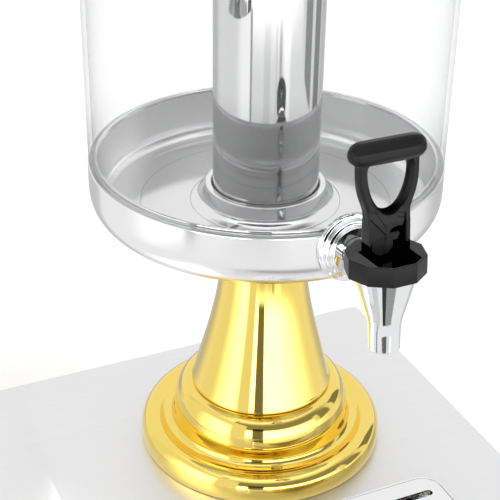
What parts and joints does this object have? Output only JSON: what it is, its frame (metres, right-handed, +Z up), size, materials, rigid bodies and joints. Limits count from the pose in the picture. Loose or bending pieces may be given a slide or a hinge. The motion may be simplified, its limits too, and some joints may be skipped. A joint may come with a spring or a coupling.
{
  "type": "juice dispenser",
  "caption": "Drink dispenser with clear round tanks on gold pedestals over a flat base, each with an ice tube, a lid and a tap.",
  "frame": {"origin": "on the floor under the middle of the base plate", "axes": "+Z up, taps towards -Y, the two units side by side along X"},
  "size_m": [0.577, 0.35, 0.5292],
  "materials": {
    "plate": "fine brushed stainless sheet, satin",
    "gold": "mirror gold, clear lacquered",
    "steel": "mirror-polished stainless steel",
    "chrome": "mirror chrome plate",
    "clear": "clear polished acrylic",
    "black": "moulded satin plastic",
    "rubber": "matte moulded rubber",
    "silicone": "translucent silicone",
    "fastener": "zinc-plated steel"
  },
  "bodies": {
    "stand": {"base_plate": "plate", "rubber_foot_1": "rubber", "rubber_foot_2": "rubber", "rubber_foot_3": "rubber", "rubber_foot_4": "rubber", "pedestal_foot_left": "gold", "pedestal_column_left": "gold", "tie_stud_left": "fastener", "stud_washer_left": "fastener", "stud_nut_left": "fastener", "basin_left": "steel", "tube_socket_left": "steel", "ice_tube_left": "steel", "tank_gasket_left": "silicone", "tank_left": "clear", "tap_flange_left": "chrome", "tap_body_left": "chrome", "tap_collar_left": "black", "handle_pin_left": "fastener", "shank_seal_left": "rubber", "shank_nut_left": "fastener", "pedestal_foot_right": "gold", "pedestal_column_right": "gold", "tie_stud_right": "fastener", "stud_washer_right": "fastener", "stud_nut_right": "fastener", "basin_right": "steel", "tube_socket_right": "steel", "ice_tube_right": "steel", "tank_gasket_right": "silicone", "tank_right": "clear", "tap_flange_right": "chrome", "tap_body_right": "chrome", "tap_collar_right": "black", "handle_pin_right": "fastener", "shank_seal_right": "rubber", "shank_nut_right": "fastener"},
    "left_lid": {"lid_left": "steel", "lid_knob_left": "gold", "knob_screw_left": "fastener"},
    "left_handle": {"tap_handle_left": "black"},
    "left_valve": {"valve_stem_left": "fastener", "seat_cup_left": "silicone"},
    "left_tray": {"drip_tray_left": "steel"},
    "left_grid": {"drip_grid_left": "steel"},
    "right_lid": {"lid_right": "steel", "lid_knob_right": "gold", "knob_screw_right": "fastener"},
    "right_handle": {"tap_handle_right": "black"},
    "right_valve": {"valve_stem_right": "fastener", "seat_cup_right": "silicone"},
    "right_tray": {"drip_tray_right": "steel"},
    "right_grid": {"drip_grid_right": "steel"}
  },
  "joints": [
    {"name": "left_lid_lift", "type": "slide", "parent": "stand", "child": "left_lid", "axis": [0, 0, 1], "range_m": [0, 0.15]},
    {"name": "left_tap_tilt", "type": "hinge", "parent": "stand", "child": "left_handle", "pos_m": [-0.15, -0.08614, 0.23789], "axis": [1, 0, 0], "range_deg": [0, 40], "stiffness_Nm_per_rad": 0.3, "springref_deg": -17.19},
    {"name": "left_valve_lift", "type": "slide", "parent": "stand", "child": "left_valve", "axis": [0, 0.1045, 0.9945], "range_m": [0, 0.004]},
    {"name": "left_tray_lift", "type": "slide", "parent": "stand", "child": "left_tray", "axis": [0, 0, 1], "range_m": [0, 0.06]},
    {"name": "left_grid_lift", "type": "slide", "parent": "left_tray", "child": "left_grid", "axis": [0, 0, 1], "range_m": [0, 0.05]},
    {"name": "right_lid_lift", "type": "slide", "parent": "stand", "child": "right_lid", "axis": [0, 0, 1], "range_m": [0, 0.15]},
    {"name": "right_tap_tilt", "type": "hinge", "parent": "stand", "child": "right_handle", "pos_m": [0.15, -0.08614, 0.23789], "axis": [1, 0, 0], "range_deg": [0, 40], "stiffness_Nm_per_rad": 0.3, "springref_deg": -17.19},
    {"name": "right_valve_lift", "type": "slide", "parent": "stand", "child": "right_valve", "axis": [0, 0.1045, 0.9945], "range_m": [0, 0.004]},
    {"name": "right_tray_lift", "type": "slide", "parent": "stand", "child": "right_tray", "axis": [0, 0, 1], "range_m": [0, 0.06]},
    {"name": "right_grid_lift", "type": "slide", "parent": "right_tray", "child": "right_grid", "axis": [0, 0, 1], "range_m": [0, 0.05]}
  ],
  "couplings": [
    {"joint": "left_valve_lift", "follows": "left_tap_tilt", "m_per_rad": 0.00573},
    {"joint": "right_valve_lift", "follows": "right_tap_tilt", "m_per_rad": 0.00573}
  ]
}
